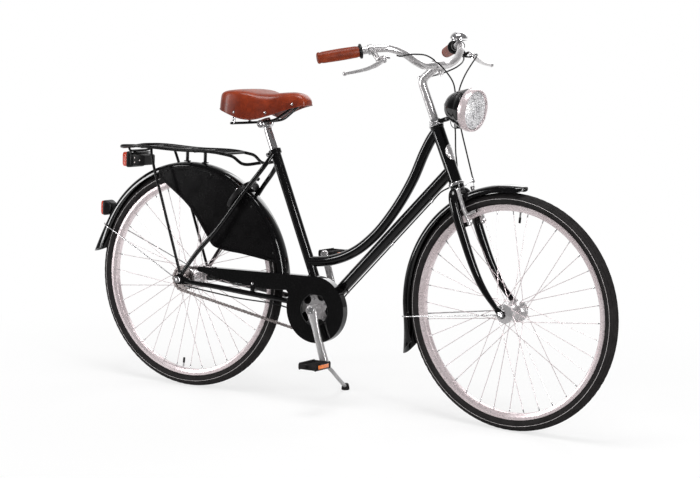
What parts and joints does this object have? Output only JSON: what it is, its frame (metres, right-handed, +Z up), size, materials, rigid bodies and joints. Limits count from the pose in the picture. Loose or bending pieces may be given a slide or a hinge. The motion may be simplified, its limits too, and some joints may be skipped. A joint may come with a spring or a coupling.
{
  "type": "step-through bicycle",
  "caption": "Step-through town bicycle with swept handlebar, full fenders, chain guard, carrier, lights and side stand.",
  "frame": {"origin": "middle of the bounding box, on the ground", "axes": "+X towards the front wheel, +Y to the rider's left, +Z up; the bicycle leans 3 degrees to its left on its side stand"},
  "size_m": [1.89, 0.7848, 1.1488],
  "materials": {
    "aluminium": "polished",
    "black_paint": "high gloss, even",
    "black_plastic": "fine satin",
    "black_rubber": "matte",
    "brown_leather": "waxed, slightly worn",
    "chrome": "mirror bright",
    "clear_lens": "clear and ribbed",
    "steel": "oiled, bright at the edges",
    "tyre_rubber": "matte with a thin pale line on each side"
  },
  "bodies": {
    "frame": {"head_tube": "black_paint", "top_tube": "black_paint", "down_tube": "black_paint", "seat_tube": "black_paint", "chainstay_right": "black_paint", "chainstay_left": "black_paint", "seatstay_right": "black_paint", "seatstay_left": "black_paint", "seat_clamp": "black_paint", "rear_fender": "black_paint", "rear_fender_stay": "chrome", "skirt_guard_right": "black_plastic", "skirt_guard_left": "black_plastic", "rear_rack": "black_paint", "rear_light": "black_plastic", "rear_reflector": "black_plastic", "chain_guard": "black_paint", "ring_lock": "black_plastic", "kickstand_bracket": "black_paint", "chain": "steel", "rear_axle": "chrome", "gear_cable": "black_plastic"},
    "seat": {"seatpost": "chrome", "saddle_frame": "black_paint", "saddle_top": "brown_leather"},
    "ring_lock_bolt": {"ring_lock_bolt": "steel"},
    "kickstand": {"kickstand_leg": "chrome", "kickstand_foot": "black_rubber"},
    "steering": {"fork": "black_paint", "headset_upper": "chrome", "stem": "aluminium", "handlebar": "aluminium", "grip_right": "brown_leather", "grip_left": "brown_leather", "brake_bracket_right": "aluminium", "brake_bracket_left": "aluminium", "bell": "chrome", "front_fender": "black_paint", "front_fender_stay": "chrome", "front_axle": "chrome", "front_brake_cable": "black_plastic", "rear_brake_cable": "black_plastic"},
    "brake_lever_right": {"brake_lever_right": "aluminium"},
    "brake_lever_left": {"brake_lever_left": "aluminium"},
    "bell_lever": {"bell_lever": "steel"},
    "headlight": {"headlight_shell": "black_paint", "headlight_lens": "clear_lens"},
    "front_brake_arm_right": {"front_brake_arm_right": "aluminium"},
    "front_brake_arm_left": {"front_brake_arm_left": "aluminium"},
    "front_wheel": {"front_tyre": "tyre_rubber", "front_rim": "aluminium", "front_hub": "aluminium"},
    "rear_wheel": {"rear_tyre": "tyre_rubber", "rear_rim": "aluminium", "rear_hub": "aluminium"},
    "rear_sprocket": {"rear_sprocket": "steel"},
    "crankset": {"crank_right": "aluminium", "crank_left": "aluminium"},
    "pedal_right": {"pedal_right": "black_rubber"},
    "pedal_left": {"pedal_left": "black_rubber"}
  },
  "joints": [
    {"name": "steering_turn", "type": "hinge", "parent": "frame", "child": "steering", "pos_m": [0.4022, -0.01616, 0.70729], "axis": [-0.3955, 0.0481, 0.9172], "range_deg": [-60, 70], "deforming": ["gear_cable"]},
    {"name": "front_wheel_spin", "type": "hinge", "parent": "steering", "child": "front_wheel", "pos_m": [0.59608, -0.03808, 0.34994], "axis": [0.08, 0.9966, -0.0177], "continuous": true},
    {"name": "rear_wheel_spin", "type": "hinge", "parent": "frame", "child": "rear_wheel", "pos_m": [-0.5538, -0.03489, 0.34983], "axis": [0, 0.9986, -0.0523], "continuous": true},
    {"name": "crank_spin", "type": "hinge", "parent": "frame", "child": "crankset", "pos_m": [-0.04649, -0.03751, 0.2999], "axis": [0, 0.9986, -0.0523], "continuous": true, "deforming": ["chain"]},
    {"name": "sprocket_spin", "type": "hinge", "parent": "frame", "child": "rear_sprocket", "pos_m": [-0.5538, -0.03489, 0.34983], "axis": [0, 0.9986, -0.0523], "continuous": true},
    {"name": "pedal_right_spin", "type": "hinge", "parent": "crankset", "child": "pedal_right", "pos_m": [0.01129, -0.0456, 0.14556], "axis": [0, 0.9986, -0.0523], "continuous": true},
    {"name": "pedal_left_spin", "type": "hinge", "parent": "crankset", "child": "pedal_left", "pos_m": [-0.10428, -0.02942, 0.45424], "axis": [0, 0.9986, -0.0523], "continuous": true},
    {"name": "brake_lever_right_pull", "type": "hinge", "parent": "steering", "child": "brake_lever_right", "pos_m": [0.28029, -0.23448, 1.08314], "axis": [0.0157, 0.2057, -0.9785], "range_deg": [0, 22], "stiffness_Nm_per_rad": 0.6, "springref_deg": -20.05},
    {"name": "brake_lever_left_pull", "type": "hinge", "parent": "steering", "child": "brake_lever_left", "pos_m": [0.31775, 0.23195, 1.07485], "axis": [0.0201, 0.2399, 0.9706], "range_deg": [0, 22], "stiffness_Nm_per_rad": 0.6, "springref_deg": -20.05},
    {"name": "front_brake_arm_right_squeeze", "type": "hinge", "parent": "steering", "child": "front_brake_arm_right", "pos_m": [0.46907, -0.05946, 0.60539], "axis": [-0.915, 0.0664, -0.3981], "range_deg": [0, 4]},
    {"name": "front_brake_arm_left_squeeze", "type": "hinge", "parent": "steering", "child": "front_brake_arm_left", "pos_m": [0.47483, 0.0123, 0.60411], "axis": [0.915, -0.0664, 0.3981], "range_deg": [0, 4]},
    {"name": "kickstand_fold", "type": "hinge", "parent": "frame", "child": "kickstand", "pos_m": [-0.1038, -0.00271, 0.27605], "axis": [0.1632, 0.942, 0.2931], "range_deg": [0, 85]},
    {"name": "ring_lock_bolt_turn", "type": "hinge", "parent": "frame", "child": "ring_lock_bolt", "pos_m": [-0.35956, -0.02059, 0.62265], "axis": [-0.7943, 0.0318, 0.6067], "range_deg": [0, 112]},
    {"name": "bell_lever_push", "type": "hinge", "parent": "steering", "child": "bell_lever", "pos_m": [0.2959, 0.18636, 1.12114], "axis": [-0.0014, 0.0179, 0.9998], "range_deg": [0, 25], "stiffness_Nm_per_rad": 0.05, "springref_deg": -11.46},
    {"name": "headlight_tilt", "type": "hinge", "parent": "steering", "child": "headlight", "pos_m": [0.36804, -0.00995, 0.90221], "axis": [0.08, 0.9966, -0.0177], "range_deg": [-12, 12]},
    {"name": "seatpost_slide", "type": "slide", "parent": "frame", "child": "seat", "axis": [-0.3827, 0.0484, 0.9226], "range_m": [-0.045, 0.07]}
  ],
  "couplings": [
    {"joint": "sprocket_spin", "follows": "crank_spin", "ratio": 2.1053},
    {"joint": "front_brake_arm_right_squeeze", "follows": "brake_lever_left_pull", "ratio": 0.18},
    {"joint": "front_brake_arm_left_squeeze", "follows": "brake_lever_left_pull", "ratio": 0.18}
  ]
}
